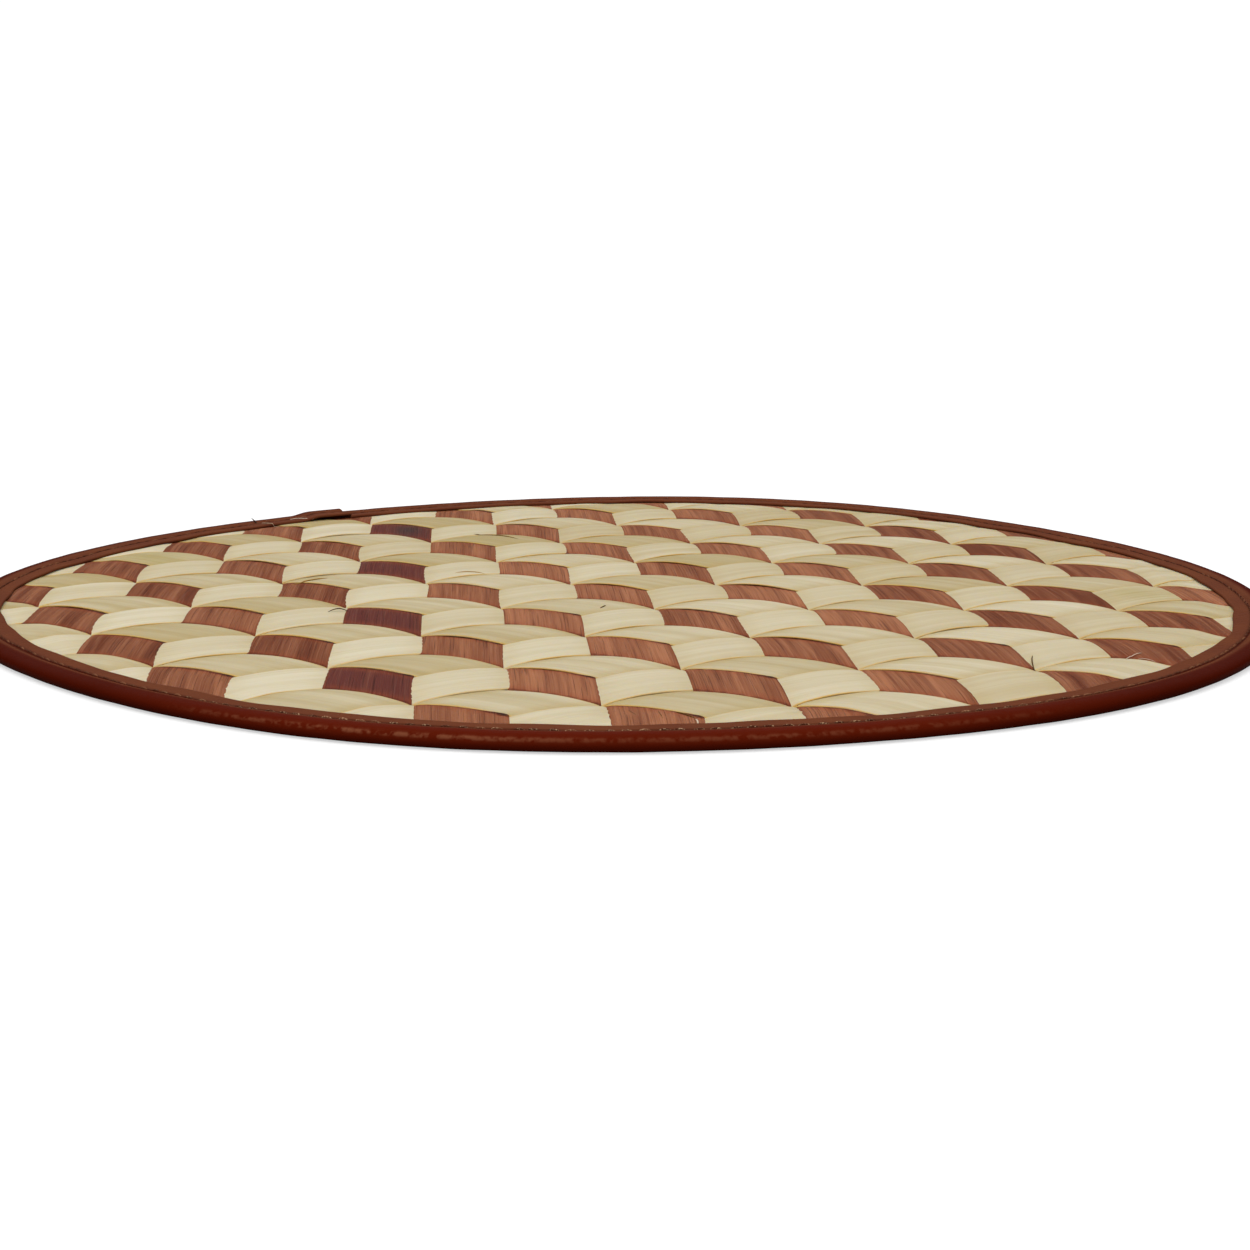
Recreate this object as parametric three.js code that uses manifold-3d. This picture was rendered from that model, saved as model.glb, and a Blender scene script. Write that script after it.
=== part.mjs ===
// A round placemat for one place setting, lying flat on a table.
// The mat is plaited from flat bamboo strips in three directions, one set dyed brown and two left
// cream, so that every strip shows on top once in three crossings and makes a leaning diamond there.
// A leather-look tape is folded over the rim and sewn down. Its end laps over its start at the back.
// Millimetres, +Z up. The origin is the centre of the mat on the table, and -Y is the near side.

import * as THREE from 'three';
import Module from 'manifold-3d';
import { mergeVertices } from 'three/addons/utils/BufferGeometryUtils.js';

const wasm = await Module();
wasm.setup();

// The rim
const matRadius = 190;        // outer edge of the tape
const rollHeight = 4.4;       // the padded roll stands on the table and is the thickest part
const rollWidth = 7;
const bindingWidth = 12;      // inner edge of the tape to its outer edge
const tapeThickness = 1.1;
const furrowInset = 5;        // inner edge of the tape to the furrow that the sewing pulls in
const furrowDepth = 0.4;
const footWidth = 2.6;        // the roll is pressed flat where it stands
const gap = 0.3;              // between the tape and the mat inside its fold
const rimSteps = 96;
const rollSteps = 7;          // facets across the round of the roll, from the furrow to the foot
const rollEnd = -50;          // degrees below level at which the round gives way to the foot

// The rim was cut by hand and isn't a true circle: its radius swells in broad waves round the mat,
// each with its number of turns, its size, and the angle of one of its peaks
const rimWaves = [
  { turns: 2, size: 1.5, peak: 46 },
  { turns: 3, size: 2.8, peak: 74 },
  { turns: 4, size: 2, peak: 79 },
  { turns: 6, size: 0.8, peak: 72 },
];

// The lap, in degrees from +X: the tape's free end and the place where it has sunk to the rim's level
const lapEnd = 125.5;
const lapStart = 131.9;
const lapRise = 1.1;          // how far the free end stands up
const lapBulge = 0.35;        // share of that by which the roll also swells outwards
const lapSteps = 4;
const lapCut = 0.05;          // the free end is cut straight across

// The weave. The brown strips run away from the near side, and the two cream sets fall and rise to
// the right. Three directions and one pitch fix the whole lattice of crossings.
const brownPitch = 22.2;
const brownAngle = 94.05;
const fallingAngle = -30.27;
const risingAngle = 31.69;
const weaveCentre = new THREE.Vector2(-3.5, -13.3);  // middle of a brown diamond near the mat's centre
const pinchThickness = 1.2;   // three strips pressed together where six diamonds meet
const stripRise = 1.45;       // how far a strip arches above or below those points
const marginThickness = 1.1;  // the plain edge that lies inside the tape
const diamondSteps = 2;       // facets along each side of a diamond

const middle = rollHeight / 2;
const grooveHalf = marginThickness / 2 + gap;
const flangeHalf = grooveHalf + tapeThickness;
const mouthRadius = matRadius - bindingWidth;
const grooveRadius = matRadius - 2 * tapeThickness;

// Directions of the strips, and the sides of the diamonds along them. One brown side and one falling
// side add up to one rising side, so the sine rule gives their lengths from the brown strips' pitch.
const heading = (degrees) => {
  const angle = THREE.MathUtils.degToRad(degrees);
  return new THREE.Vector2(Math.cos(angle), Math.sin(angle));
};
const swelling = (degrees) => rimWaves.reduce((sum, { turns, size, peak }) => (
  sum + size * heading(turns * (degrees - peak)).x), 0);
const sineBetween = (a, b) => Math.abs(heading(a).cross(heading(b)));
const fallingLength = brownPitch / sineBetween(brownAngle, fallingAngle);
const brownLength = (fallingLength * sineBetween(fallingAngle, risingAngle))
  / sineBetween(brownAngle, risingAngle);
const fallingSide = heading(fallingAngle).multiplyScalar(fallingLength);
const brownSide = heading(brownAngle).multiplyScalar(brownLength);
const risingSide = brownSide.clone().add(fallingSide);

// A place on the weave is a column, counted in brown strips, and a row of brown diamonds. Rows are one
// and a half brown sides apart. The two cream sets are counted from the same middle.
const columnStep = fallingSide.clone().add(risingSide).multiplyScalar(0.5);
const rowStep = brownSide.clone().multiplyScalar(1.5);
const placeOf = (column, row) => weaveCentre.clone()
  .addScaledVector(columnStep, column).addScaledVector(rowStep, row);
const fallingCount = (column, row) => 1.5 * row + 0.5 * column;
const risingCount = (column, row) => 1.5 * row - 0.5 * column;

// A strip goes on top once in three crossings and underneath once in three, so that its height is the
// mean of two waves with that period, one for each set that it crosses. It is 1 on top, -1 below.
const wave = (crossings) => Math.cos((2 * Math.PI * crossings) / 3);
const stripSets = {
  brown: {
    number: (column) => Math.round(column),
    height: (n, column, row) => (
      (wave(fallingCount(column, row) + n) + wave(risingCount(column, row) - n)) / 2),
  },
  falling: {
    number: (column, row) => Math.round(fallingCount(column, row)),
    height: (n, column, row) => -(wave(risingCount(column, row) + n) + wave(column + n)) / 2,
  },
  rising: {
    number: (column, row) => Math.floor(risingCount(column, row)),
    height: (n, column, row) => (
      (wave(column - n + 1) - wave(fallingCount(column, row) + n - 1)) / 2),
  },
};

// The three diamonds that repeat: where each lies from the brown one, its two sides in columns and
// rows, and the set of strips that is its top face and the one that is its underside
const brownStep = [0, 2 / 3];
const fallingStep = [1, -1 / 3];
const risingStep = [1, 1 / 3];
const diamondKinds = [
  { offset: [0, 0], sides: [fallingStep, brownStep], top: 'brown', under: 'falling' },
  { offset: [0.5, 0.5], sides: [fallingStep, risingStep], top: 'falling', under: 'rising' },
  { offset: [1, 0], sides: [risingStep, brownStep], top: 'rising', under: 'brown' },
];

// A mesh that is built up from shared points
class PointMesh {
  constructor() {
    this.points = [];
    this.triangles = [];
    this.known = new Map();
  }

  point(x, y, z) {
    const key = [x, y, z].map((value) => value.toFixed(5)).join();
    if (!this.known.has(key)) {
      this.known.set(key, this.points.length / 3);
      this.points.push(x, y, z);
    }
    return this.known.get(key);
  }

  triangle(a, b, c) {
    if (a !== b && b !== c && c !== a) this.triangles.push(a, b, c);
  }

  quad(a, b, c, d) {
    this.triangle(a, b, c);
    this.triangle(a, c, d);
  }

  // Joins two lines of points that run the same way. Seen from outside, the second lies to the right
  // of the first.
  band(first, second) {
    for (let n = 0; n + 1 < first.length; n += 1) {
      this.quad(first[n], second[n], second[n + 1], first[n + 1]);
    }
  }

  geometry() {
    const geometry = new THREE.BufferGeometry();
    geometry.setAttribute('position', new THREE.Float32BufferAttribute(this.points, 3));
    geometry.setIndex(this.triangles);
    return geometry;
  }
}

function solidOf(geometry) {
  const bare = geometry.clone();
  bare.deleteAttribute('normal');
  bare.deleteAttribute('uv');
  const merged = mergeVertices(bare, 1e-4);
  return new wasm.Manifold(new wasm.Mesh({
    numProp: 3,
    vertProperties: new Float32Array(merged.getAttribute('position').array),
    triVerts: new Uint32Array(merged.index.array),
  }));
}

function geometryOf(solid) {
  const { vertProperties, triVerts } = solid.getMesh();
  const geometry = new THREE.BufferGeometry();
  geometry.setAttribute('position', new THREE.BufferAttribute(vertProperties, 3));
  geometry.setIndex(new THREE.BufferAttribute(triVerts, 1));
  return geometry;
}

// Every diamond within reach of the mat's centre
function listDiamonds(reach) {
  const found = [];
  const most = Math.ceil((1.5 * reach) / brownPitch);
  for (let row = -most; row <= most; row += 1) {
    for (let column = -most; column <= most; column += 1) {
      if ((row + column) % 2 !== 0) continue;
      for (const kind of diamondKinds) {
        const centre = [column + kind.offset[0], row + kind.offset[1]];
        if (placeOf(...centre).length() < reach) found.push({ ...kind, centre });
      }
    }
  }
  return found;
}

// The points of one diamond's face as a square grid, and its four borders, counterclockwise from above
function diamondGrid(mesh, { centre, sides: [first, second] }, set, ground, rise) {
  const number = stripSets[set].number(...centre);
  const grid = [];
  for (let a = 0; a <= diamondSteps; a += 1) {
    const line = [];
    for (let b = 0; b <= diamondSteps; b += 1) {
      const u = a / diamondSteps - 0.5;
      const v = b / diamondSteps - 0.5;
      const column = centre[0] + u * first[0] + v * second[0];
      const row = centre[1] + u * first[1] + v * second[1];
      const place = placeOf(column, row);
      line.push(mesh.point(place.x, place.y, ground + rise * stripSets[set].height(number, column, row)));
    }
    grid.push(line);
  }
  const borders = [
    grid.map((line) => line[0]),
    [...grid[diamondSteps]],
    grid.map((line) => line[diamondSteps]).reverse(),
    [...grid[0]].reverse(),
  ];
  return { grid, borders };
}

// One face of the weave. Neighbouring diamonds share their corners, and a thin wall closes the step
// where the edge of one strip stands above the next. Returns the borders that have no neighbour.
function addWeaveFace(mesh, diamonds, face) {
  const above = face === 'top';
  const ground = middle + (above ? 0.5 : -0.5) * pinchThickness;
  const alone = new Map();
  for (const diamond of diamonds) {
    const { grid, borders } = diamondGrid(mesh, diamond, diamond[face], ground, stripRise);
    for (let n = 0; n < diamondSteps; n += 1) {
      if (above) mesh.band(grid[n], grid[n + 1]);
      else mesh.band(grid[n + 1], grid[n]);
    }
    for (const border of borders) {
      const [from, to] = [border[0], border[diamondSteps]];
      const neighbour = alone.get(`${to} ${from}`);
      if (neighbour) {
        alone.delete(`${to} ${from}`);
        neighbour.reverse();
        if (above) mesh.band(border, neighbour);
        else mesh.band(neighbour, border);
      } else {
        alone.set(`${from} ${to}`, border);
      }
    }
  }
  return [...alone.values()];
}

// A flat plate about the mat's middle plane, round with the rim's waves
function plate(radius, thickness) {
  const edge = [];
  for (let n = 0; n < rimSteps; n += 1) {
    const angle = (360 * n) / rimSteps;
    edge.push(heading(angle).multiplyScalar(radius + swelling(angle)));
  }
  const geometry = new THREE.ExtrudeGeometry(new THREE.Shape(edge), {
    depth: thickness, bevelEnabled: false,
  });
  geometry.translate(0, 0, middle - thickness / 2);
  return solidOf(geometry);
}

// The plaited mat: the arched weave within the mouth of the tape, and the plain edge that it grips
function wovenPanel() {
  const diamonds = listDiamonds(matRadius + brownPitch);
  const mesh = new PointMesh();
  const topRim = addWeaveFace(mesh, diamonds, 'top');
  const underRim = addWeaveFace(mesh, diamonds, 'under');
  topRim.forEach((border, n) => mesh.band(border, underRim[n]));
  const weave = solidOf(mesh.geometry()).intersect(plate(mouthRadius - gap, 2 * rollHeight));
  return geometryOf(weave.add(plate(grooveRadius - gap, marginThickness)));
}

// The closed outline of the folded tape, as radius and height from the middle plane, and how much of
// the lap's rise each point takes upwards and outwards: over the top from the inner edge, round the
// roll to its foot, back below to the inner edge, and into the fold
function bindingOutline() {
  const furrow = mouthRadius + furrowInset;
  const furrowHalf = flangeHalf - furrowDepth;
  const brink = furrow - 2 * furrowDepth;
  const rollCentre = matRadius - rollWidth / 2;
  const shoulder = 180 - THREE.MathUtils.radToDeg(Math.asin(furrowHalf / middle));
  const round = [];
  for (let n = 0; n <= rollSteps; n += 1) {
    const { x, y } = heading(THREE.MathUtils.lerp(shoulder, rollEnd, n / rollSteps));
    const radius = rollCentre + (x * rollWidth) / 2;
    round.push({ radius, height: y * middle, up: (1 + y) / 2, out: lapBulge * Math.max(0, x) });
  }
  const fixed = (radius, height) => ({ radius, height, up: 0, out: 0 });
  return [
    { radius: mouthRadius, height: flangeHalf, up: 1, out: 0 },
    { radius: brink, height: flangeHalf, up: 1, out: 0 },
    { radius: furrow, height: furrowHalf, up: 1, out: 0 },
    ...round,
    fixed(rollCentre + footWidth / 2, -middle),
    fixed(rollCentre - footWidth / 2, -middle),
    fixed(furrow, -furrowHalf),
    fixed(brink, -flangeHalf),
    fixed(mouthRadius, -flangeHalf),
    fixed(mouthRadius, -grooveHalf),
    fixed(grooveRadius, -grooveHalf),
    fixed(grooveRadius, grooveHalf),
    fixed(mouthRadius, grooveHalf),
  ];
}

// Angles of the rim's cross-sections in degrees, and how far the lapped end stands up at each
function rimSections() {
  const sections = [{ angle: lapEnd - lapCut, rise: 0 }];
  for (let n = 0; n <= lapSteps; n += 1) {
    const along = n / lapSteps;
    sections.push({ angle: THREE.MathUtils.lerp(lapEnd, lapStart, along), rise: lapRise * (1 - along) });
  }
  for (let n = 0; n < rimSteps; n += 1) {
    const angle = (360 * n) / rimSteps;
    if (angle < lapEnd - lapCut || angle > lapStart) sections.push({ angle, rise: 0 });
  }
  return sections.sort((one, other) => one.angle - other.angle);
}

// The tape: its outline carried round the rim, standing up where the end laps over the start
function edgeBinding() {
  const outline = bindingOutline();
  const mesh = new PointMesh();
  const rings = rimSections().map(({ angle, rise }) => {
    const { x, y } = heading(angle);
    const ring = outline.map(({ radius, height, up, out }) => {
      const reach = radius + swelling(angle) + out * rise;
      return mesh.point(x * reach, y * reach, middle + height + up * rise);
    });
    return [...ring, ring[0]];
  });
  rings.forEach((ring, n) => mesh.band(rings[(n + 1) % rings.length], ring));
  return mesh.geometry();
}

function piece(name, geometry, material) {
  const faceted = geometry.toNonIndexed();
  faceted.computeVertexNormals();
  const mesh = new THREE.Mesh(faceted, material);
  mesh.name = name;
  return mesh;
}

const bamboo = new THREE.MeshStandardMaterial({ color: 0xc9b98a, roughness: 0.55, metalness: 0 });
const leatherette = new THREE.MeshStandardMaterial({ color: 0x5a2a1c, roughness: 0.35, metalness: 0 });

const placemat = new THREE.Group();
placemat.add(piece('woven_panel', wovenPanel(), bamboo));
placemat.add(piece('edge_binding', edgeBinding(), leatherette));

export default placemat;
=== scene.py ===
# A round placemat for one place setting, lying flat on a table. It is plaited from flat bamboo strips
# in three directions, and a dark brown leather-look tape is folded over its rim and sewn down.
# Sizes are in millimetres and become metres where a mesh is made. The near side is -Y.

import math

import bpy
import numpy as np
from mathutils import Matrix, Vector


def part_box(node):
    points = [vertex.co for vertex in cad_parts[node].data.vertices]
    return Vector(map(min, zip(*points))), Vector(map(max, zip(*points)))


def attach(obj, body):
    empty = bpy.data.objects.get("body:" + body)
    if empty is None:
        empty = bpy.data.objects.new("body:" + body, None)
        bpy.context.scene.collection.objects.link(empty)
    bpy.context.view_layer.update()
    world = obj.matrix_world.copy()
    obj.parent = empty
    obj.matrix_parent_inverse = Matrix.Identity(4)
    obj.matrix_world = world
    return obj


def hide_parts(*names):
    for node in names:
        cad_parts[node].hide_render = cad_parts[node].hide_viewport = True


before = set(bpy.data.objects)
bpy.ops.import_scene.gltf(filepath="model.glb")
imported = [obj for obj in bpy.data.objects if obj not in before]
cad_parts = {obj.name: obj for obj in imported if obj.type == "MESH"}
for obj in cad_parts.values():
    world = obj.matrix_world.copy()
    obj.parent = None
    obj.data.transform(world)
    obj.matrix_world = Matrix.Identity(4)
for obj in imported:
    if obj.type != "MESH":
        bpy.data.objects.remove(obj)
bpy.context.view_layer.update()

metres = 0.001
panel_low, panel_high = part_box("woven_panel")

# The plaited mat
# Split bamboo strips about 22 mm wide, each laid over two crossing strips, then between them, then
# under both. They are only plaited, not glued, and their cut ends lie inside the folded tape.
mat_radius = 190
rim_waves = {2: (1.5, 46), 3: (2.8, 74), 4: (2.0, 79), 6: (0.8, 72)}  # by turns: size, angle of a peak
strip_pitch = 22.2
brown_heading = 94.05
falling_heading = -30.27
rising_heading = 31.69
weave_centre = np.array([-3.5, -13.3])  # middle of a brown diamond near the mat's centre
weave_middle = 500 * (panel_low.z + panel_high.z)  # halfway between the panel's two faces
strip_reach = mat_radius - 4  # where the strips are cut, inside the tape
side_margin = 0.6             # how far a strip's two sides stay inside that cut
narrowest_strip = 1.5         # a strip that the rim cuts narrower than this is left out
outermost_strip = 11
strip_cover = 0.976           # share of the pitch that a strip fills
strip_thickness = 0.45
edge_thickness = 0.28
edge_share = 0.03             # share of the width in which an edge gets its full thickness
half_turn_length = 1.5        # crossings from a strip's top to its bottom
diamond_half = 0.5            # crossings from a diamond's middle to its border
strip_arch = 0.95             # how a strip bends up along its length where it is on top
strip_lean = 0.55             # how much higher the two open corners of a diamond stand
strip_crown = 0.55            # how a strip bulges across its width
strip_hollow = 0.35           # how much less the middle of its width bends up
arch_range = (0.84, 1.16)     # how arch and lean vary from crossing to crossing
lean_range = (0.75, 1.2)
line_waves = ((0.25, 31), (0.15, 13))  # how a strip's line wanders: size, and length over 2 pi
layer_lift = 0.375            # what the other two layers add to a strip's bend
lift_start = 0.25             # bend at which that is at seven tenths
rim_flat_from = 168           # the tape presses the weave flatter from here outwards
rim_flat_to = 177
rim_keep = 0.3                # share of its bend that a strip keeps there
cell_length = 1.6
cells_across = np.array([-0.5, -0.484, -0.45, -0.34, -0.18, 0, 0.18, 0.34, 0.45, 0.484, 0.5])
grain_shift = 0.83            # metres by which the grain differs from strip to strip
tone_spread = 0.5             # how far the tone of a strip varies that isn't listed below
under_shade_from = 0.28            # where on a diamond the painted shade begins of a strip that goes under
corner_across = (0.22, 0.26)  # shade in one corner of the brown diamonds: where it begins across the
corner_along = (0.4, 0.08)    # strip and over what width it grows, and the same along the strip
level_light = 1.25            # what the studio's light does to a white thing that lies level

# The diamonds with a stain: strip set, strip, half turn, then place and width across, in strip widths
stains = [("brown", -3, 0, 0.12, 0.2), ("falling", -1, 2, 0.0, 0.6), ("rising", 4, 8, 0.0, 0.5)]
stain_length = 0.5            # in crossings


def direction(degrees):
    """Unit vector at that angle from +X."""
    return np.array([math.cos(math.radians(degrees)), math.sin(math.radians(degrees))])


def smooth(x):
    """0 below 0, 1 above 1, and the smooth cubic between."""
    x = np.clip(x, 0, 1)
    return x * x * (3 - 2 * x)


def sine_between(one, other):
    """Size of the sine of the angle between two headings in degrees."""
    return abs(math.sin(math.radians(one - other)))


def swelling(x, y):
    """How far the rim stands out beyond a true circle in the direction of places x, y: one cosine of
    the angle for each of the rim's waves, added up."""
    angle = np.degrees(np.arctan2(y, x))
    return sum(size * np.cos(np.radians(turns * (angle - peak)))
               for turns, (size, peak) in rim_waves.items())


# A brown side and a falling side of the diamonds add up to a rising side, so the sine rule gives them
falling_side = direction(falling_heading) * strip_pitch / sine_between(brown_heading, falling_heading)
brown_side = (direction(brown_heading) * np.linalg.norm(falling_side)
              * sine_between(falling_heading, rising_heading)
              / sine_between(brown_heading, rising_heading))
column_step = falling_side + brown_side / 2
row_step = 1.5 * brown_side
counts_from_place = np.linalg.inv(np.column_stack([column_step, row_step]))

# Each set's lanes and crossings are counted by straight functions of column and row: their factors
# and a start. A strip's own number is added to its crossings. The brown strips arch less.
strip_sets = {
    "brown": {"lane": (1, 0, 0), "crossing": (0.5, 1.5, 0), "arch": 0.55},
    "falling": {"lane": (0.5, 1.5, 0), "crossing": (-0.5, 1.5, -1.5), "arch": 0.95},
    "rising": {"lane": (0.5, -1.5, 0.5), "crossing": (1, 0, 1), "arch": 0.85},
}


def count(factors, x, y):
    """A straight function of column and row at places x, y."""
    x, y = x - weave_centre[0], y - weave_centre[1]
    column = counts_from_place[0, 0] * x + counts_from_place[0, 1] * y
    row = counts_from_place[1, 0] * x + counts_from_place[1, 1] * y
    return factors[0] * column + factors[1] * row + factors[2]


def strip_bend(crossing, across, arch, lean=1.0):
    """Bend of a strip from the mat's middle. It tops out at crossing 0, bottoms out at 1.5 and repeats
    every 3. On top it is a cosine along the strip, plus a crown across it, plus a twist that lifts the
    two open corners. From there a cubic with the same slope runs down to the middle."""
    half_turn = np.round(crossing / half_turn_length)
    side = 1 - 2 * (half_turn % 2)
    along = crossing - half_turn_length * half_turn
    mirror = np.where(along < 0, -1, 1)
    along, c = along * mirror, across * side * mirror
    bulge = 1 - 4 * c * c
    lean, crown, arch = strip_lean * lean, strip_crown * bulge, (strip_arch - strip_hollow * bulge) * arch
    v = along + c / 2
    top = lean * (0.5 + 2 * c * v) + crown + arch * np.cos(np.pi * v)
    level_at = half_turn_length / 2
    left = np.maximum(level_at - diamond_half + c / 2, 1e-6)
    q = np.clip((level_at - along) / left, 0, 1)
    start = lean * (0.5 + c) + crown
    cubic = ((np.pi * arch - 2 * lean * c) * left - start) / 2
    return side * np.where(v <= diamond_half, top, start * q + cubic * q * (q * q - 1))


def strip_level(bend, x, y):
    """Height of a strip's middle surface: its bend, faded out towards the rim, spread apart by the
    thickness of the other layers, which is a smooth step from under to over."""
    radius = np.hypot(x, y) - swelling(x, y)
    faded = bend * (1 - (1 - rim_keep) * smooth((radius - rim_flat_from) / (rim_flat_to - rim_flat_from)))
    return weave_middle + faded + layer_lift * faded / np.sqrt(faded**2 + lift_start**2)


def quads_of(rows, columns, first=0, close_rows=False):
    """Faces of a grid of points that are numbered row by row: each joins four neighbours. Each row is
    a ring, and close_rows joins the last row to the first."""
    row = np.arange(rows if close_rows else rows - 1)[:, None]
    column = np.arange(columns)[None]
    here, there = first + row * columns, first + (row + 1) % rows * columns
    after = (column + 1) % columns
    return np.stack([here + column, here + after, there + after, there + column], -1).reshape(-1, 4)


def mesh_piece(name, points, faces, uv, marks):
    """A mesh from whole arrays: places in mm, faces of four corners, a UV and named marks for each
    point. The faces are turned round if the volume that they enclose comes out negative."""
    corner = points[faces]
    volume = np.einsum("ij,ij->i", corner[:, 0], np.cross(corner[:, 1], corner[:, 2])).sum()
    volume += np.einsum("ij,ij->i", corner[:, 0], np.cross(corner[:, 2], corner[:, 3])).sum()
    faces = faces if volume > 0 else faces[:, ::-1]
    mesh = bpy.data.meshes.new(name)
    mesh.from_pydata(points * metres, [], faces)
    mesh.uv_layers.new(name="UVMap").data.foreach_set("uv", uv[faces.ravel()].astype(np.float32).ravel())
    for mark, values in marks.items():
        mesh.attributes.new(mark, "FLOAT", "POINT").data.foreach_set("value", values.astype(np.float32))
    mesh.shade_smooth()
    piece = bpy.data.objects.new(name, mesh)
    bpy.context.scene.collection.objects.link(piece)
    return piece


line_seed = 400               # what each kind of variation adds to a strip set's seed
lean_seed = 50
tone_seed = 900


def table_of(seed, low, high, rows=40, columns=80):
    """A table of even random numbers from low to high, for strip numbers and crossings."""
    return np.random.default_rng(seed).uniform(low, high, (rows, columns))


def look_up(table, number, half_turn):
    """The table's entry for a strip's number and its half turn, both counted from the middle."""
    return table[int(number) + table.shape[0] // 2, half_turn.astype(int) + table.shape[1] // 2]


def cut_end(reach, outwards, along, way):
    """How far along a strip it is cut, at places across the mat: the chord of a circle whose radius
    takes the rim's swelling at the end itself, found in a few rounds."""
    end = way * np.sqrt(np.maximum(strip_reach**2 - reach**2, 1))
    for _ in range(5):
        x, y = outwards[0] * reach + along[0] * end, outwards[1] * reach + along[1] * end
        end = way * np.sqrt(np.maximum((strip_reach + swelling(x, y))**2 - reach**2, 1))
    return end


def one_strip(kind, number, seed):
    """One strip as a ring of points across it at each step along it, from cut end to cut end. Arch,
    twist and line vary a little from crossing to crossing. Its marks are the stain, a bell across and
    along, and under_shade, a painted shade which grows from 0 to 1 towards where the strip goes
    under, and up to 2 in the painted shaded corner of a brown diamond."""
    lane, crossing = strip_sets[kind]["lane"], strip_sets[kind]["crossing"]
    slope = np.array([count(lane, 1, 0) - count(lane, 0, 0), count(lane, 0, 1) - count(lane, 0, 0)])
    pitch = 1 / np.linalg.norm(slope)
    outwards = slope * pitch
    along = np.array([-outwards[1], outwards[0]])
    offset = (number - count(lane, 0, 0)) * pitch
    half = pitch * strip_cover / 2
    low = max(offset - half, side_margin - strip_reach - swelling(*-outwards))
    high = min(offset + half, strip_reach + swelling(*outwards) - side_margin)
    if high - low < narrowest_strip:
        return None
    reach = low + (cells_across + 0.5) * (high - low)
    start, end = cut_end(reach, outwards, along, -1), cut_end(reach, outwards, along, 1)
    steps = max(4, int((end - start).max() / cell_length))
    s = start + np.linspace(0, 1, steps)[:, None] * (end - start)[None]
    starts = np.random.default_rng(seed + line_seed + number).uniform(0, 2 * np.pi, len(line_waves))
    drift = sum(size * np.sin(s / length + start) for (size, length), start in zip(line_waves, starts))
    x = outwards[0] * (reach + drift) + along[0] * s
    y = outwards[1] * (reach + drift) + along[1] * s
    across = (reach[None] - offset) / pitch + 0 * s
    turn = count(crossing, x, y) + number - across / 2
    half_turn = np.round(turn / half_turn_length)
    arch = strip_sets[kind]["arch"] * look_up(table_of(seed, *arch_range), number, half_turn)
    lean = look_up(table_of(seed + lean_seed, *lean_range), number, half_turn)
    z = strip_level(strip_bend(turn, across, arch, lean), x, y)
    edge = smooth((0.5 - np.abs(cells_across)) / edge_share)
    thick = (edge_thickness + (strip_thickness - edge_thickness) * edge) / 2
    top = np.stack([x, y, z + thick], -1)
    under = np.stack([x, y, z - thick], -1)[:, ::-1]
    uv = np.stack([across + 0.5, s * metres + grain_shift * number], -1)
    uv = np.concatenate([uv, uv[:, ::-1]], 1)
    stain = 0 * s
    for where, strip, place, middle, width in stains:
        if (where, strip) == (kind, number):
            from_stain = turn - half_turn_length * place
            stain += np.exp(-((across - middle) / width)**2 - (from_stain / stain_length)**2)
    step = turn - half_turn_length * half_turn
    from_top = np.abs(step) + across * (1 - 2 * (half_turn % 2)) * np.where(step < 0, -0.5, 0.5)
    # painted shade that grows towards where the strip goes under, and in one corner of a brown diamond
    under_shade = smooth((from_top - under_shade_from) / (diamond_half - under_shade_from))
    if kind == "brown":
        corner = smooth((across - corner_across[0]) / corner_across[1])
        under_shade += corner * smooth((from_top - corner_along[0]) / corner_along[1]) * (step > 0)
    marks = {mark: np.concatenate([values, values[:, ::-1]], 1).ravel()
             for mark, values in (("stain", stain), ("under_shade", under_shade))}
    return np.concatenate([top, under], 1), uv, marks


def strip_piece(kind, seed, tones):
    """All strips of one set in one mesh. A ribbon is a grid that closes round the strip, and two rows
    of faces between its top and underside close its ends. Its tone is the same all over a strip."""
    width = len(cells_across)
    points, uvs, faces = [], [], []
    marks = {"tone": [], "stain": [], "under_shade": []}
    start = 0
    for number in range(-outermost_strip, outermost_strip + 1):
        made = one_strip(kind, number, seed)
        if made is None:
            continue
        ring, uv, found = made
        rows = len(ring)
        column = np.arange(width - 1)
        cap = np.stack([column, 2 * width - 1 - column, 2 * width - 2 - column, column + 1], -1)
        faces += [quads_of(rows, 2 * width, start), start + cap,
                  start + (rows - 1) * 2 * width + cap[:, ::-1]]
        points.append(ring.reshape(-1, 3))
        uvs.append(uv.reshape(-1, 2))
        unlisted = np.random.default_rng(seed + tone_seed + number).uniform(-tone_spread, tone_spread)
        found["tone"] = np.full(rows * 2 * width, tones.get(number, unlisted))
        for mark, values in found.items():
            marks[mark].append(values)
        start += rows * 2 * width
    piece = mesh_piece(f"{kind}_strips", np.concatenate(points), np.concatenate(faces), np.concatenate(uvs),
                       {mark: np.concatenate(values) for mark, values in marks.items()})
    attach(piece, "root")
    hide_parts("woven_panel")
    return piece


def add(tree, kind, inputs=None, **settings):
    """One shader node. Inputs are given by name or number, as a value or as a socket to join."""
    made = tree.nodes.new(kind)
    for name, value in settings.items():
        setattr(made, name, value)
    for key, value in (inputs or {}).items():
        if isinstance(value, bpy.types.NodeSocket):
            tree.links.new(value, made.inputs[key])
        else:
            made.inputs[key].default_value = value
    return made


def math_node(tree, operation, *values, clamp=False):
    """The output of one Math node."""
    made = add(tree, "ShaderNodeMath", dict(enumerate(values)), operation=operation, use_clamp=clamp)
    return made.outputs[0]


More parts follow.
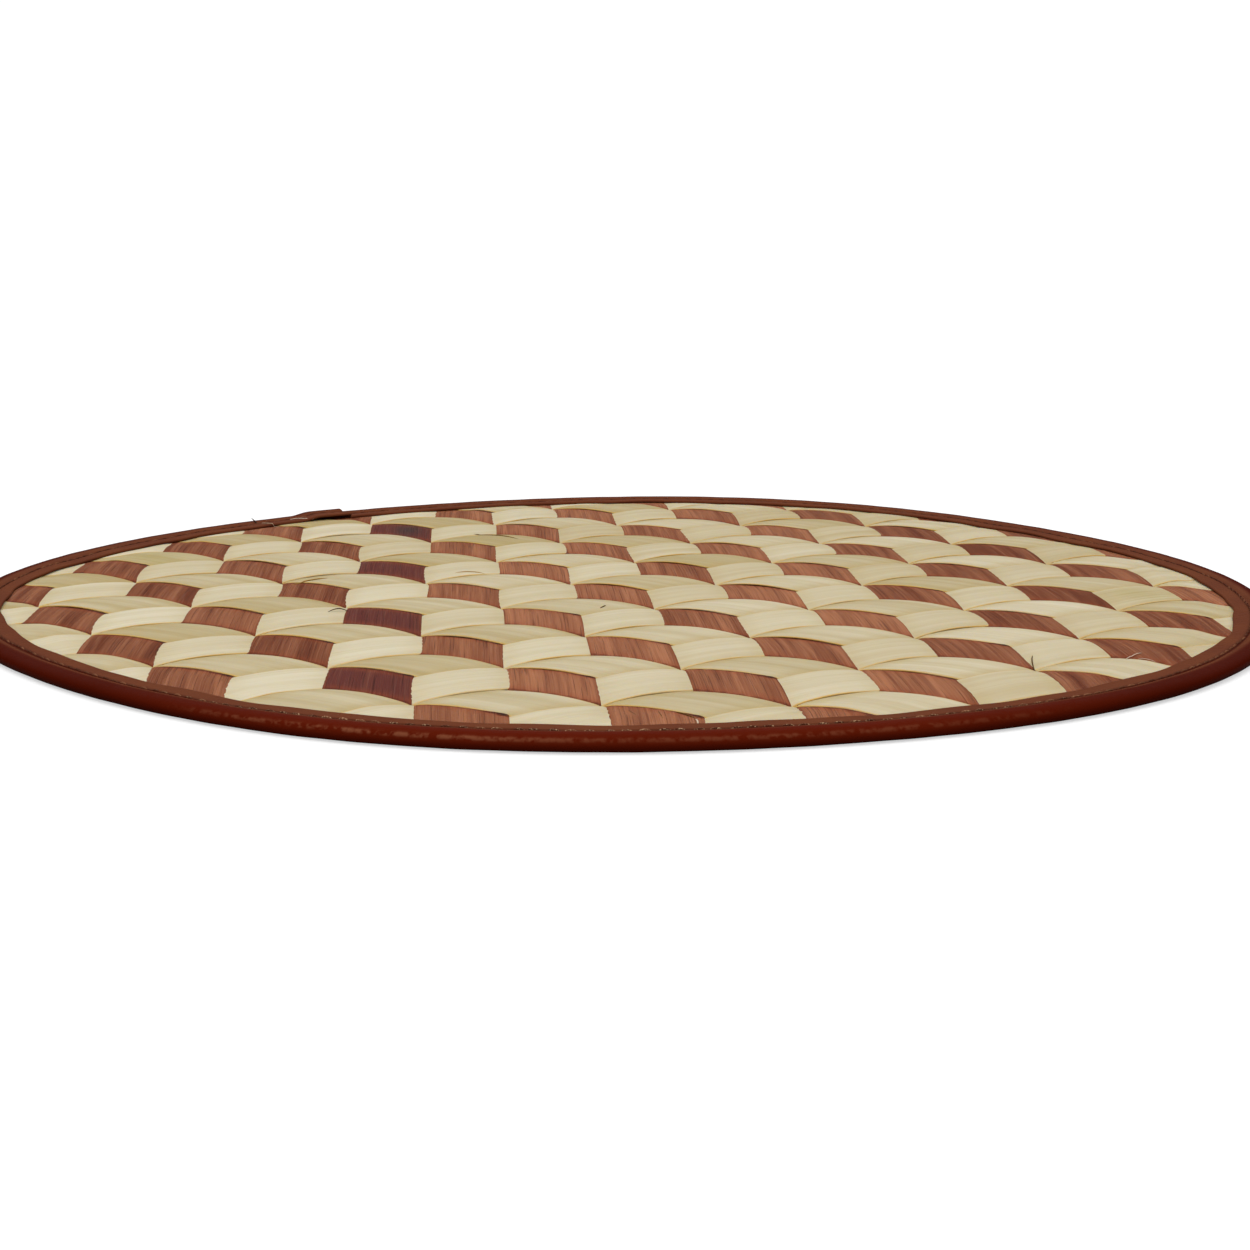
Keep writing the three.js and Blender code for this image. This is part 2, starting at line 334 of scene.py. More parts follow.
def mix_colours(tree, factor, one, other):
    """The colour output of one Mix node: one colour at factor 0, the other at 1."""
    mixed = add(tree, "ShaderNodeMix", {"Factor": factor}, data_type="RGBA")
    for socket, value in ((mixed.inputs[6], one), (mixed.inputs[7], other)):
        if isinstance(value, bpy.types.NodeSocket):
            tree.links.new(value, socket)
        else:
            socket.default_value = value
    return mixed.outputs[2]


def ranged(tree, value, low, high, new_low=0.0, new_high=1.0, kind="LINEAR"):
    """A value carried from one range to another, and held at its ends."""
    return add(tree, "ShaderNodeMapRange", {"Value": value, "From Min": low, "From Max": high,
               "To Min": new_low, "To Max": new_high}, interpolation_type=kind).outputs[0]


def stretched_noise(tree, place, across, along, detail=2.0):
    """Noise from 0 to 1 on a strip's UV, with its grains that many mm wide and long."""
    scale = (strip_pitch / across, 1000 / along, 1)
    at = add(tree, "ShaderNodeMapping", {"Vector": place, "Scale": scale}).outputs[0]
    return add(tree, "ShaderNodeTexNoise", {"Vector": at, "Scale": 1.0, "Detail": detail},
               noise_dimensions="2D").outputs[0]


def from_screen(red, green, blue):
    """A colour as it is seen lying level in this light, 0 to 255, made linear for the shader by the
    sRGB curve and divided by the light."""
    seen = np.array([red, green, blue]) / 255
    linear = np.where(seen <= 0.04045, seen / 12.92, ((seen + 0.055) / 1.055) ** 2.4)
    return (*(linear / level_light), 1.0)


def tinted(tree, colour, mask, share, tint):
    """The colour with that share of a tint, given as seen, where the mask is 1."""
    return mix_colours(tree, math_node(tree, "MULTIPLY", mask, share), colour, from_screen(*tint))


def new_material(name):
    """A material with its node tree and its Principled shader."""
    made = bpy.data.materials.new(name)
    made.use_nodes = True
    return made, made.node_tree, made.node_tree.nodes["Principled BSDF"]


def mark_of(tree, name):
    """The value that a mesh's mark has at each place."""
    return add(tree, "ShaderNodeAttribute", attribute_name=name).outputs["Fac"]


def dented(tree, shader, strength, depth, height):
    """Dents or raises the shader's surface by a height times a depth in mm."""
    dent = add(tree, "ShaderNodeBump", {"Strength": strength, "Distance": depth * metres, "Height": height})
    tree.links.new(dent.outputs[0], shader.inputs["Normal"])


def new_group(name, inputs, outputs):
    """An empty shader node group with its sockets, and its input and output nodes."""
    group = bpy.data.node_groups.new(name, "ShaderNodeTree")
    for socket, kind in inputs:
        group.interface.new_socket(socket, in_out="INPUT", socket_type=kind)
    for socket, kind in outputs:
        group.interface.new_socket(socket, in_out="OUTPUT", socket_type=kind)
    return group, group.nodes.new("NodeGroupInput"), group.nodes.new("NodeGroupOutput")


def bamboo_grain():
    """What all split bamboo shows: fine fibres, stripes a millimetre wide, broad bands of tone, cracks
    and short flecks along the fibres, the two cut edges, and a height for the bump."""
    shown = ["Fibres", "Stripes", "Bands", "Cracks", "Flecks", "Edge", "Height"]
    group, given, result = new_group("bamboo grain", [("Place", "NodeSocketVector")],
                                     [(name, "NodeSocketFloat") for name in shown])
    place = given.outputs[0]
    fibres = stretched_noise(group, place, across=0.35, along=30, detail=3.0)
    stripes = stretched_noise(group, place, across=1.3, along=75)
    bands = stretched_noise(group, place, across=4.5, along=160)
    cracks = stretched_noise(group, place, across=0.35, along=40, detail=1.0)
    cracks = ranged(group, cracks, 0.67, 0.72)
    flecks = ranged(group, stretched_noise(group, place, across=0.35, along=3.2), 0.72, 0.80)
    sideways = add(group, "ShaderNodeSeparateXYZ", {0: place}).outputs[0]
    from_middle = math_node(group, "ABSOLUTE", math_node(group, "SUBTRACT", sideways, 0.5))
    edge = ranged(group, from_middle, 0.448, 0.482)
    height = math_node(group, "MULTIPLY_ADD", stripes, 1.6, fibres)
    height = math_node(group, "MULTIPLY_ADD", cracks, -1.2, height)
    for name, value in zip(shown, (fibres, stripes, bands, cracks, flecks, edge, height)):
        group.links.new(value, result.inputs[name])
    return group


grain_group = bamboo_grain()


def bamboo_material(name, build_colour, roughness, bump):
    """A strip's finish: the shared grain on its UV, its own colours, a roughness that the fibres carry
    from its first value to its second, and the grain's height as a bump of that many mm."""
    made, tree, shader = new_material(name)
    place = add(tree, "ShaderNodeUVMap", uv_map="UVMap").outputs[0]
    grain = add(tree, "ShaderNodeGroup", {"Place": place}, node_tree=grain_group)
    marks = {mark: mark_of(tree, mark) for mark in ("tone", "stain", "under_shade")}
    tree.links.new(build_colour(tree, grain.outputs, marks), shader.inputs["Base Color"])
    rough = ranged(tree, grain.outputs["Fibres"], 0.3, 0.7, *roughness)
    tree.links.new(rough, shader.inputs["Roughness"])
    shader.inputs["Specular IOR Level"].default_value = 0.04
    shader.inputs["Subsurface Weight"].default_value = 0.25
    shader.inputs["Subsurface Radius"].default_value = (1.0, 0.5, 0.15)
    shader.inputs["Subsurface Scale"].default_value = 0.6 * metres
    dented(tree, shader, 1.0, bump, grain.outputs["Height"])
    return made


# Tints of plain and of dyed bamboo as seen on a screen, 0 to 255, each with its share of the colour
# The cut edge tints are the cut fibre's own colour together with a painted glow of light through the thin
# edge
plain_tints = {
    "dark fibres": (0.1, (170, 146, 96)), "dark stripes": (0.13, (164, 152, 104)),
    "flecks": (0.22, (130, 104, 60)), "stain": (0.7, (156, 140, 72)), "cut edge and glow": (0.85, (200, 158, 78)),
}
golden_under_shade = (170, 146, 86)       # painted shade where plain bamboo goes under another strip
dyed_dark = (100, 48, 24)     # the two ends between which dyed bamboo varies by band and strip
dyed_light = (161, 104, 72)
# The tints where a strip goes under, at that border and in the corner are painted shade
dyed_tints = {
    "dark stripes": (0.35, (90, 42, 30)), "pale stripes": (0.16, (182, 126, 94)),
    "dark fibres": (0.3, (80, 38, 28)), "pale fibres": (0.14, (190, 136, 106)),
    "more dye": (0.6, (84, 36, 38)), "shade going under": (0.45, (140, 62, 28)), "shaded border": (0.7, (72, 24, 10)),
    "shaded corner": (0.9, (42, 20, 8)), "cracks": (0.5, (54, 24, 20)), "flecks": (0.3, (60, 28, 24)),
    "stain": (0.85, (52, 42, 40)), "cut edge and glow": (0.45, (130, 66, 34)),
}


def cream_colour(pale, khaki, sheen_khaki_left, sheen_khaki_right, under_shade_share):
    """Plain bamboo: pale cream to khaki, by strip, by band and by the side of the mat, the last a painted
    sheen and shade. Where it goes under another strip it is painted golden, a painted shade. It has faint
    streaks, golden cut edges that also carry a painted glow of light through them, and olive stains."""
    def build(tree, grain, marks):
        place = add(tree, "ShaderNodeTexCoord").outputs["Object"]
        aside = add(tree, "ShaderNodeSeparateXYZ", {0: place}).outputs[0]
        # painted sheen and shade: the strips turn more khaki towards one side of the mat
        side = ranged(tree, aside, -0.17, 0.17, sheen_khaki_left, sheen_khaki_right, "SMOOTHSTEP")
        mixed = math_node(tree, "MULTIPLY_ADD", grain["Bands"], 0.8, 0.1)
        mixed = math_node(tree, "MULTIPLY_ADD", marks["tone"], 0.4, mixed)
        mixed = math_node(tree, "ADD", mixed, side, clamp=True)
        colour = mix_colours(tree, mixed, from_screen(*pale), from_screen(*khaki))
        # painted shade, golden, where the strip goes under another
        colour = tinted(tree, colour, marks["under_shade"], under_shade_share, golden_under_shade)
        by_stripes = ranged(tree, grain["Stripes"], 0.3, 0.7, 0.3, 1.0)
        by_fibres = ranged(tree, grain["Fibres"], 0.4, 0.6, 0.5, 1.0)
        masks = {
            "dark fibres": ranged(tree, grain["Fibres"], 0.45, 0.7),
            "dark stripes": ranged(tree, grain["Stripes"], 0.55, 0.78),
            "flecks": grain["Flecks"],
            "stain": math_node(tree, "MULTIPLY", marks["stain"], by_stripes),
            # cut edges: the fibre's colour and a painted glow of light through them
            "cut edge and glow": math_node(tree, "MULTIPLY", grain["Edge"], by_fibres),
        }
        for name, mask in masks.items():
            colour = tinted(tree, colour, mask, *plain_tints[name])
        return colour
    return build


def brown_colour(tree, grain, marks):
    """Dyed bamboo: red brown with orange-brown bands, pale and dark stripes and fine cracks. Where it goes
    under it is painted more orange, and dark at that border and in one corner: all painted shade. Its
    cut edges are lighter, partly a painted glow. Tones below -0.8 are the strip that took more dye, and
    stains are nearly black."""
    mixed = math_node(tree, "MULTIPLY_ADD", grain["Bands"], 1.3, -0.15)
    mixed = math_node(tree, "MULTIPLY_ADD", marks["tone"], 0.5, mixed, clamp=True)
    colour = mix_colours(tree, mixed, from_screen(*dyed_dark), from_screen(*dyed_light))
    masks = {
        "dark stripes": ranged(tree, grain["Stripes"], 0.52, 0.74),
        "pale stripes": ranged(tree, grain["Stripes"], 0.46, 0.26),
        "dark fibres": ranged(tree, grain["Fibres"], 0.54, 0.74),
        "pale fibres": ranged(tree, grain["Fibres"], 0.42, 0.26),
        "more dye": ranged(tree, marks["tone"], -0.8, -1.4),
        # the next three masks are painted shade where the strip goes under
        "shade going under": marks["under_shade"],
        "shaded border": ranged(tree, marks["under_shade"], 0.75, 1.0),
        "shaded corner": ranged(tree, marks["under_shade"], 1.15, 1.6),
        "cracks": grain["Cracks"],
        "flecks": grain["Flecks"],
        "stain": marks["stain"],
        "cut edge and glow": grain["Edge"],
    }
    for name, mask in masks.items():
        colour = tinted(tree, colour, mask, *dyed_tints[name])
    return colour


# The tone of single strips, counted from the mat's middle: higher is lighter for the dyed strips and
# more khaki for the plain ones. The dyed strips in the middle are lighter and the outer ones darker: a
# painted sheen on top of each strip's own tone.
brown_tones_and_sheen = {-7: -0.4, -6: -0.6, -5: -0.1, -4: -0.6, -3: -1.4, -2: 0.15, -1: 0.45, 0: 0.4, 1: 0, 2: 0.3,
               3: 0.4, 4: -0.2, 5: -0.5, 6: -0.8, 7: -0.5}
falling_tones = {-5: 0.3, -4: -0.2, -3: 0.3, 0: -0.5, 2: -0.3, 3: 0.9, 4: 0.7, 5: -0.2, 7: 0.7}
rising_tones = {-4: 0.9, -3: 0.4, -2: 0.3, -1: -0.2, 0: 0.3, 2: -0.2, 3: -0.4, 4: -0.1, 6: -0.5}
brown_strips = strip_piece("brown", 11, brown_tones_and_sheen)
falling_strips = strip_piece("falling", 23, falling_tones)
rising_strips = strip_piece("rising", 37, rising_tones)
khaki_bamboo = cream_colour(pale=(206, 195, 168), khaki=(168, 150, 106), sheen_khaki_left=0.25, sheen_khaki_right=-0.15,
                            under_shade_share=0.45)
pale_bamboo = cream_colour(pale=(209, 199, 172), khaki=(181, 164, 126), sheen_khaki_left=-0.3, sheen_khaki_right=0.25,
                           under_shade_share=0.2)
dyed_finish = bamboo_material("dyed bamboo", brown_colour, (0.54, 0.68), 0.06)
falling_finish = bamboo_material("plain bamboo, falling", khaki_bamboo, (0.49, 0.63), 0.025)
rising_finish = bamboo_material("plain bamboo, rising", pale_bamboo, (0.49, 0.63), 0.025)
brown_strips.data.materials.append(dyed_finish)
falling_strips.data.materials.append(falling_finish)
rising_strips.data.materials.append(rising_finish)

# The edge binding
# One leather-look tape, folded over the cut rim with a filler cord in its outer fold, which makes the
# round roll. Its inner part lies on the weave and follows it. Its end laps over its start at the back.
roll_height = 4.4
roll_width = 7
roll_fullness = 1.03          # how much taller the roll would be without its flat foot
roll_ends = 148               # degrees from the roll's outermost line, up and down, to where it ends
binding_width = 12
tape_thickness = 1.0
tape_bed = 0.03               # how far the tape is pressed into the weave
tape_bridge = 11              # rings of the tape over which it evens out the weave below
furrow_inset = 5              # from the inner lip to the furrow that holds the sewing
furrow_depth = 0.25
furrow_spread = 0.6
furrow_margin = 1.1           # how far the flat of the inner part stays off furrow and lip
sheen_to = 2.0               # how far outside the furrow the tape's top is painted browner, a painted sheen
sheen_fade = 2
streak_turn = 30              # degrees up the roll's outer side to the painted highlight streak
streak_width = 11
groove_inset = 2.2            # from the rim to the end of the fold that holds the weave
groove_half = 0.85
under_flange_half = 1.8       # how far below the middle the tape's lower part reaches
lap_end = 125.5               # degrees round the rim to the lap's free end
lap_full = 129.4              # to where the lap begins to sink
lap_start = 132               # and to where it has sunk to the rim's level
lap_rise = 1.1
lap_bulge = 0.35              # share of its rise by which the lap also stands outwards
lap_edge = 0.05               # degrees from the free end's edge to the lap's full rise
lap_edge_rise = 0.8           # share of that rise at the edge itself
lap_tuck = 0.12               # degrees by which the tape below goes on under the lap
rests_at = (0.5, 2, 3.5)      # places across the inner part where it rests on the weave
tape_rings = 1180
inner_waves = {17: 0.05, 29: 0.05, 43: 0.04}  # unevenness of the inner part's height, by number of waves
lip_waves = {9: 0.25, 23: 0.3, 37: 0.2, 61: 0.1}  # of the lips' line
roll_waves = {13: 0.006, 31: 0.008, 57: 0.008, 91: 0.006}  # and of the roll's height, as a share of it
stitch_pitch = 4.05
stitch_radius = mat_radius - binding_width + furrow_inset

roll_centre = mat_radius - roll_width / 2
mouth_radius = mat_radius - binding_width


def weave_top(x, y):
    """Height of the weave's upper face: the highest of the three strips at each place."""
    heights = []
    for kind in strip_sets.values():
        lane = count(kind["lane"], x, y)
        number = np.round(lane)
        across = lane - number
        turn = count(kind["crossing"], x, y) + number - across / 2
        heights.append(strip_level(strip_bend(turn, across, kind["arch"]), x, y))
    return np.max(heights, 0) + strip_thickness / 2


def ring_mean(values, width):
    """Mean of a closed ring of values over that many neighbours, twice."""
    kernel = np.ones(width) / width
    for _ in range(2):
        padded = np.concatenate([values[-width:], values, values[:width]])
        values = np.convolve(padded, kernel, "same")[width:-width]
    return values


def waves(angle, seed, sizes):
    """Sum of sines round the rim: sizes gives the height of each by its number of waves."""
    starts = np.random.default_rng(seed).uniform(0, 2 * np.pi, len(sizes))
    return sum(size * np.sin(turns * angle + start) for (turns, size), start in zip(sizes.items(), starts))


def tape_section():
    """The tape's closed outline: over the top from its inner lip, down into the furrow, round the roll
    as an ellipse with a flat foot, back below to the lower lip, and into the fold. Each row holds the
    radius, the height above the middle, how far the height follows the weave, and how far the place
    takes the lap's rise upwards and outwards."""
    rows = []
    lip = tape_thickness / 2
    for turn in np.radians([-90, -55, -20, 20, 55, 90]):
        rows.append((mouth_radius + lip - lip * math.cos(turn), lip * math.sin(turn) - lip, 1, 1, 0))
    for radius in np.linspace(mouth_radius + furrow_margin, stitch_radius - furrow_margin, 6):
        rows.append((radius, 0, 1, 1, 0))
    for radius in stitch_radius + np.array([-0.75, -0.4, -0.15, 0.15, 0.4]):
        dip = furrow_depth * math.exp(-((radius - stitch_radius) / furrow_spread)**2)
        rows.append((radius, -dip, 1, 1, 0))
    for turn in np.radians(np.linspace(roll_ends, -roll_ends, 27)):
        height = max(roll_height / 2 * roll_fullness * math.sin(turn), -roll_height / 2)
        rows.append((roll_centre + roll_width / 2 * math.cos(turn), height, 0, (1 + math.sin(turn)) / 2,
                     lap_bulge * max(0, math.cos(turn))))
    for radius in stitch_radius - np.array([0, 0.5, 1.2, 2.4, 3.6]):
        dip = furrow_depth * math.exp(-((radius - stitch_radius) / furrow_spread)**2)
        rows.append((radius, dip - under_flange_half, 0, 0, 0))
    for turn in np.radians([-90, -30, 30, 90]):
        height = lip * math.sin(turn) + lip - under_flange_half
        rows.append((mouth_radius + lip - lip * math.cos(turn), height, 0, 0, 0))
    for height in (-groove_half, groove_half):
        rows.append((mat_radius - groove_inset, height, 0, 0, 0))
    return np.array(rows)


def binding_piece():
    """The section carried round the rim from the lap's free end. Ring by ring the inner part takes the
    weave's smoothed height, the lips wander, and the lap stands up and sinks to the rim's level."""
    section = tape_section()
    radius, height, follows, up, out = section.T
    degrees = lap_end + np.concatenate([[0.0], np.linspace(lap_edge, 360, tape_rings)])
    angle = np.radians(degrees)[:, None]
    outline = swelling(np.cos(angle), np.sin(angle))
    rests = [mouth_radius + inset + outline for inset in rests_at]
    under_tape = [weave_top(rest * np.cos(angle), rest * np.sin(angle))[:, 0] for rest in rests]
    flange = ring_mean(np.max(under_tape, 0), tape_bridge) + tape_thickness - tape_bed - weave_middle
    flange = flange[:, None] + waves(angle, 3, inner_waves)
    rise = lap_rise * (1 - smooth((degrees - lap_full) / (lap_start - lap_full)))
    rise[0] *= lap_edge_rise
    rise[-1] = 0
    last = np.zeros(len(degrees))
    last[-1] = 1
    turned = angle + np.radians(lap_tuck) * last[:, None] * up
    inner = smooth((stitch_radius - radius) / furrow_inset)
    reach = outline + radius + out * rise[:, None]
    reach = reach + inner * waves(angle, 5, lip_waves)
    swell = 1 + waves(angle, 8, roll_waves)
    level = np.where(follows > 0, flange + height, height * swell)
    level = np.maximum(level, -weave_middle) + up * rise[:, None]
    points = np.stack([reach * np.cos(turned), reach * np.sin(turned), weave_middle + level], -1)
    steps = np.linalg.norm(np.diff(section[:, :2], axis=0), axis=1)
    around = np.concatenate([[0], np.cumsum(steps)])
    uv = np.stack(np.broadcast_arrays(around[None] * metres, angle * mat_radius * metres), -1)
    rows, columns = points.shape[:2]
    # where the furrow's painted shade goes
    furrow = np.exp(-((radius - stitch_radius) / furrow_spread)**2) * (follows > 0)
    below = (height < 0) & (radius > stitch_radius)
    rolled = np.where(below, 1, smooth((radius - stitch_radius - sheen_to) / sheen_fade))
    turn = np.degrees(np.arctan2(height / roll_height, (radius - roll_centre) / roll_width))
    # a band up the roll's outer side that carries the painted highlight streak
    streak_highlight = np.exp(-((turn - streak_turn) / streak_width)**2) * (radius > roll_centre)
    marks = {mark: np.tile(values, rows)
             for mark, values in (("furrow", furrow), ("rolled", rolled), ("streak_highlight", streak_highlight))}
    faces = quads_of(rows, columns, close_rows=True)
    piece = mesh_piece("binding_tape", points.reshape(-1, 3), faces, uv.reshape(-1, 2), marks)
    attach(piece, "root")
    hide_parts("edge_binding")
    return piece, flange[:, 0] - furrow_depth, degrees


# the tape's browner top colour is a painted sheen
tape_top_sheen = (100, 53, 34)   # colours as seen on a screen, and tints with their shares
tape_rolled = (86, 22, 6)
worn_tint = (0.35, (118, 66, 38))
# painted shade in the furrow
furrow_shade_tint = (0.6, (50, 20, 10))
shade_tint = (0.55, (52, 8, 1))
# painted highlight along the roll's near side
highlight_streak_tint = (0.7, (138, 84, 58))
shade_along = (-0.175, -0.14)  # in metres along Y: from where to where the roll's shade grows
streak_along = (-0.155, -0.18)  # from where to where the painted highlight streak grows
streak_aside = (-0.035, -0.005)  # and in metres along X where it drops to half


def tape_material():
    """Dark red-brown leather-look tape: mottled, with a fine pebbled grain and next to no gloss. The flat
    inner part, and the roll just outside the furrow, are browner: a painted sheen. The flat part is also
    worn in a mottle, and the furrow is painted darker, a painted shade. The roll is redder and, away
    from the near side, darker, a painted shade. Along the near side a painted highlight streak runs on
    the roll, stronger on the left."""
    made, tree, shader = new_material("leather-look tape")
    place = add(tree, "ShaderNodeTexCoord").outputs["Object"]
    mottle = add(tree, "ShaderNodeTexNoise", {"Vector": place, "Scale": 60.0, "Detail": 4.0}).outputs[0]
    pebble = add(tree, "ShaderNodeTexVoronoi", {"Vector": place, "Scale": 1400.0}, feature="SMOOTH_F1")
    fine = add(tree, "ShaderNodeTexNoise", {"Vector": place, "Scale": 500.0, "Detail": 3.0}).outputs[0]
    rolled, furrow, streak_highlight = (mark_of(tree, mark) for mark in ("rolled", "furrow", "streak_highlight"))
    aside, forward = add(tree, "ShaderNodeSeparateXYZ", {0: place}).outputs[:2]
    colour = mix_colours(tree, rolled, from_screen(*tape_top_sheen), from_screen(*tape_rolled))
    flat = ranged(tree, rolled, 0.0, 0.7, 1.0, 0.0)
    wear_and_highlight = math_node(tree, "MULTIPLY", ranged(tree, mottle, 0.4, 0.65), flat)
    colour = tinted(tree, colour, wear_and_highlight, *worn_tint)
    colour = tinted(tree, colour, furrow, *furrow_shade_tint)
    shaded = math_node(tree, "MULTIPLY", rolled, ranged(tree, forward, *shade_along))
    colour = tinted(tree, colour, shaded, *shade_tint)
    streak = math_node(tree, "MULTIPLY", streak_highlight, ranged(tree, forward, *streak_along))
    streak = math_node(tree, "MULTIPLY", streak, ranged(tree, aside, *streak_aside, 1.0, 0.5))
    streak = math_node(tree, "MULTIPLY", streak, ranged(tree, fine, 0.42, 0.6))
    colour = tinted(tree, colour, streak, *highlight_streak_tint)
    tree.links.new(colour, shader.inputs["Base Color"])
    tree.links.new(ranged(tree, fine, 0.3, 0.7, 0.26, 0.4), shader.inputs["Roughness"])
    shader.inputs["Specular IOR Level"].default_value = 0.004
    shader.inputs["Specular Tint"].default_value = (1.0, 0.6, 0.42, 1.0)
    height = math_node(tree, "MULTIPLY_ADD", fine, 0.7, pebble.outputs[0])
    dented(tree, shader, 0.6, 0.08, height)
    return made


binding, furrow_level, ring_degrees = binding_piece()
binding.data.materials.append(tape_material())

# The sewing
# One line of brown thread runs through both sides of the tape along its furrow. It shows as short
# stitches that dip into the tape at both ends, on top and below.
stitch_length = 3.1
thread_width = 0.62
stitch_slant = 5              # degrees off the furrow's line
stitch_dip = 0.3              # how much deeper a stitch's ends lie than its middle
stitch_seat = 0.14            # how far its middle line stands off the furrow's floor
stitch_jitter = 0.12          # how far a stitch sits off its place, in stitches
first_stitch = 1.0            # degrees from the lap's free end to the sewing's start
sewn_degrees = 358.4
stitch_sides = 6
stitch_rings = 7


def stitch_points(degrees, level, side):
    """All stitches of one face: capsules along the rim, thinner towards both ends by the fourth power
    of the way and deeper by its square."""
    t = np.linspace(-1, 1, stitch_rings)[:, None]
    girth = np.linspace(0, 2 * np.pi, stitch_sides, endpoint=False)[None]
    thick = thread_width / 2 * np.sqrt(np.maximum(1 - t**4, 0.02))
    along = t * stitch_length / 2 + 0 * girth
    out = thick * np.cos(girth) + along * math.tan(math.radians(stitch_slant))
    up = thick * np.sin(girth) - stitch_dip * t**2
    angle = np.radians(degrees)[:, None, None]
    turned = angle + along / stitch_radius
    radius = stitch_radius + swelling(np.cos(turned), np.sin(turned)) + out
    height = level[:, None, None] + side * up
    points = np.stack(np.broadcast_arrays(radius * np.cos(turned), radius * np.sin(turned), height), -1)
    return points.reshape(len(degrees), -1, 3)


def stitching_piece():
    """Both rows of stitches in one mesh, each capsule a small closed tube."""
    total = int(2 * math.pi * stitch_radius / stitch_pitch)
    jitter = np.random.default_rng(71).uniform(-stitch_jitter, stitch_jitter, total)
    degrees = lap_end + first_stitch + (np.arange(total) + 0.5 + jitter) * sewn_degrees / total
    shown = np.interp(degrees, ring_degrees, furrow_level) + weave_middle
    lap = lap_rise * (1 - smooth((degrees - lap_full) / (lap_start - lap_full)))
    above = stitch_points(degrees, shown + lap + stitch_seat, 1)
    hidden = weave_middle - under_flange_half + furrow_depth - stitch_seat
    below = stitch_points(degrees, np.full(total, hidden), -1)
    points = np.concatenate([above, below])
    ring = quads_of(stitch_rings, stitch_sides)
    cap = np.array([[0, 1, 2, 3], [0, 3, 4, 5]])
    last = (stitch_rings - 1) * stitch_sides
    one = np.concatenate([ring, cap[:, ::-1], last + cap])
    size = stitch_rings * stitch_sides
    faces = (one[None] + size * np.arange(len(points))[:, None, None]).reshape(-1, 4)
    along = np.repeat(np.arange(stitch_rings), stitch_sides) / stitch_rings
    uv = np.stack([np.tile(np.arange(stitch_sides) / stitch_sides, stitch_rings * len(points)),
                   np.tile(along, len(points))], -1)
    tone = np.repeat(np.random.default_rng(73).uniform(0, 1, len(points)), size)
    piece = mesh_piece("stitching", points.reshape(-1, 3), faces, uv, {"tone": tone})
    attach(piece, "root")
    return piece


thread_brown = (76, 36, 20)
thread_pale = (118, 72, 48)
# painted highlight on the thread's ply along the near side
thread_highlight = (0.8, (196, 158, 122))
thread_highlight_along = (-0.14, -0.17)  # in metres along Y: from where to where the painted highlight grows


def thread_material():
    """Brown twisted thread with paler stitches here and there, and a painted highlight on its ply along the
    near side.
    """
    made, tree, shader = new_material("sewing thread")
    place = add(tree, "ShaderNodeTexCoord").outputs["Object"]
    ply = add(tree, "ShaderNodeTexNoise", {"Vector": place, "Scale": 2500.0, "Detail": 2.0}).outputs[0]
    paler = ranged(tree, mark_of(tree, "tone"), 0.4, 1.0)
    colour = mix_colours(tree, paler, from_screen(*thread_brown), from_screen(*thread_pale))
    forward = add(tree, "ShaderNodeSeparateXYZ", {0: place}).outputs[1]
    near = ranged(tree, forward, *thread_highlight_along, 0.1, 1.0)
    wear_and_highlight = math_node(tree, "MULTIPLY", ranged(tree, ply, 0.52, 0.66), near)
    colour = tinted(tree, colour, wear_and_highlight, *thread_highlight)
    tree.links.new(colour, shader.inputs["Base Color"])
    shader.inputs["Roughness"].default_value = 0.7
    shader.inputs["Specular IOR Level"].default_value = 0.04
    dented(tree, shader, 0.7, 0.1, ply)
    return made


stitching = stitching_piece()
stitching.data.materials.append(thread_material())

# Loose fibres
# Thin splinters and hairs that stand off the split bamboo where it was cut or has cracked. Each is one
# curved sliver that tapers to both ends. It lies on the weave and, at the rim, over the tape.
# Each row: where it starts, a place it goes through and where it ends, the height of its arch, how far
# its tip rises, its width, and its tone from dark at -1 to nearly white at 1
fibres = [
    ((105.5, -100.5), (103.7, -109.5), (103.3, -118.4), 0.5, 0, 0.3, -0.8),
    ((127.5, -107.5), (131, -102.5), (134.3, -98.2), 0.6, 0, 0.3, 0.9),
    ((131.5, -104), (133.5, -106), (136, -107), 0.4, 0, 0.2, 0.9),
    ((-130.8, 120.6), (-132.2, 121.8), (-133.9, 122.9), 0.1, 1.4, 0.7, -1),
    ((-131.6, 122.9), (-127.4, 119.6), (-122.8, 119.6), 0.3, 0, 0.4, 0.6),
    ((-121.6, 130.2), (-117.5, 130.6), (-112.6, 131.2), 0.4, 0, 0.4, 0.9),
    ((-84, -45.5), (-81, -43), (-78.2, -42), 0.9, 0, 0.5, -1),
    ((11.6, -163.4), (14, -166.6), (17, -169.8), 0.25, 0, 0.45, -0.7),
    ((7.8, -161.5), (8.3, -166), (9.2, -171.8), 0.05, 0, 0.35, -0.8),
    ((1, -161), (1.9, -164.5), (3.4, -168.5), 0.05, 0, 0.35, -0.8),
    ((16.3, -169.4), (16.7, -171.4), (16.8, -173.5), 0.3, 0, 0.45, 0.8),
    ((-53.5, 18), (-48.2, 20.2), (-42.6, 18.2), 0.1, 0, 0.9, 0.1),
    ((-52.3, 98.3), (-44, 94), (-35.3, 85.2), 0.1, 0, 1.0, -0.6),
    ((-101, 0), (-95.7, 6), (-90.6, 9), 0.25, 0, 0.7, 0.2),
    ((-6.9, -38.5), (-6, -36.5), (-5.2, -34.5), 0.1, 0, 0.6, -0.7),
]
fibre_rings = 14
fibre_sides = 4
fibre_seat = 0.12             # how far the ends are sunk into the strip
fibre_taper = 0.92            # share of its width that a sliver loses towards its ends
fibre_flatness = 0.6          # its thickness as a share of its width


